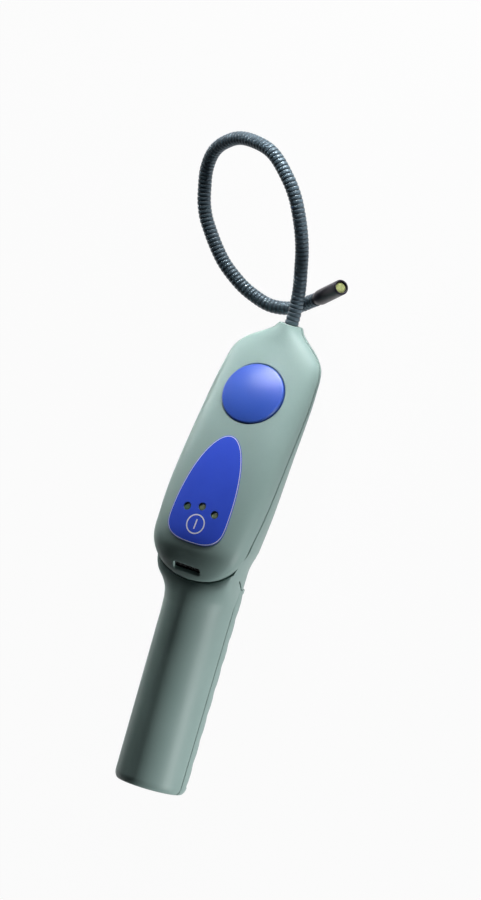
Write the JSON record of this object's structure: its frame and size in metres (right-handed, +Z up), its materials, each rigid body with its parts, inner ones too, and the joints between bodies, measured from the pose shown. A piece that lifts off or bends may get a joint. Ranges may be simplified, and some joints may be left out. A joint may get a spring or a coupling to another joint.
{
  "type": "refrigerant leak detector",
  "caption": "Hand-held refrigerant leak detector: broad head with domed thumb button and film panel, battery handle with rippled back, and ribbed gooseneck with a sensor tip.",
  "frame": {"origin": "on the table plane, on the flat strip of the back, under the middle of the head", "axes": "+X across the face to its right, +Y along the handle towards the probe, +Z up out of the face"},
  "size_m": [0.1165, 0.3747, 0.0633],
  "materials": {
    "body": "moulded, softly satin",
    "button": "smooth satin",
    "film": "printed film",
    "lamp_green": "tinted lens",
    "lamp_olive": "tinted lens",
    "board": "solder mask",
    "black_plastic": "moulded",
    "dark_plastic": "moulded",
    "white_plastic": "moulded",
    "steel": "zinc plated",
    "contact_metal": "nickel plated",
    "clamp_metal": "turned",
    "cell_jacket": "plain jacket",
    "gooseneck": "ribbed, satin",
    "sleeve": "satin",
    "filter": "felt"
  },
  "bodies": {
    "body": {"housing": "body", "front_cover": "body", "button_switch": "black_plastic", "label": "film", "led_left": "lamp_green", "led_mid": "lamp_olive", "led_right": "lamp_olive", "circuit_board": "board", "board_chip": "black_plastic", "power_switch": "black_plastic", "sounder": "black_plastic", "sound_grille": "dark_plastic", "board_screws": "steel", "cover_screws": "steel", "battery_lower": "cell_jacket", "battery_upper": "cell_jacket", "contact_plate": "contact_metal", "contact_cap": "contact_metal", "contact_spring": "contact_metal", "neck_clamp": "clamp_metal", "neck_root": "gooseneck"},
    "door": {"battery_door": "body"},
    "button": {"thumb_button": "button", "button_plunger": "white_plastic"},
    "neck_a": {"neck_lower": "gooseneck"},
    "neck_b": {"neck_upper": "gooseneck"},
    "tip": {"sensor_sleeve": "sleeve", "sensor_socket": "white_plastic", "sensor_element": "contact_metal", "filter_disc": "filter"}
  },
  "joints": [
    {"name": "button_press", "type": "slide", "parent": "body", "child": "button", "axis": [0, -0.3746, -0.9272], "range_m": [0, 0.0012], "stiffness_N_per_m": 1500, "springref_m": -0.0006},
    {"name": "door_slide", "type": "slide", "parent": "body", "child": "door", "axis": [0, -1, 0], "range_m": [0, 0.13]},
    {"name": "neck_lift", "type": "hinge", "parent": "body", "child": "neck_a", "pos_m": [-0.00006, 0.10499, 0.0147], "axis": [1, 0, 0], "range_deg": [0, 22]},
    {"name": "neck_swing", "type": "hinge", "parent": "neck_a", "child": "neck_b", "pos_m": [-0.07916, 0.15472, 0.01044], "axis": [0, 0, 1], "range_deg": [0, 22]},
    {"name": "tip_tilt", "type": "hinge", "parent": "neck_b", "child": "tip", "pos_m": [0.00923, 0.11464, 0.00959], "axis": [0.5117, -0.8592, 0], "range_deg": [-20, 20]}
  ]
}
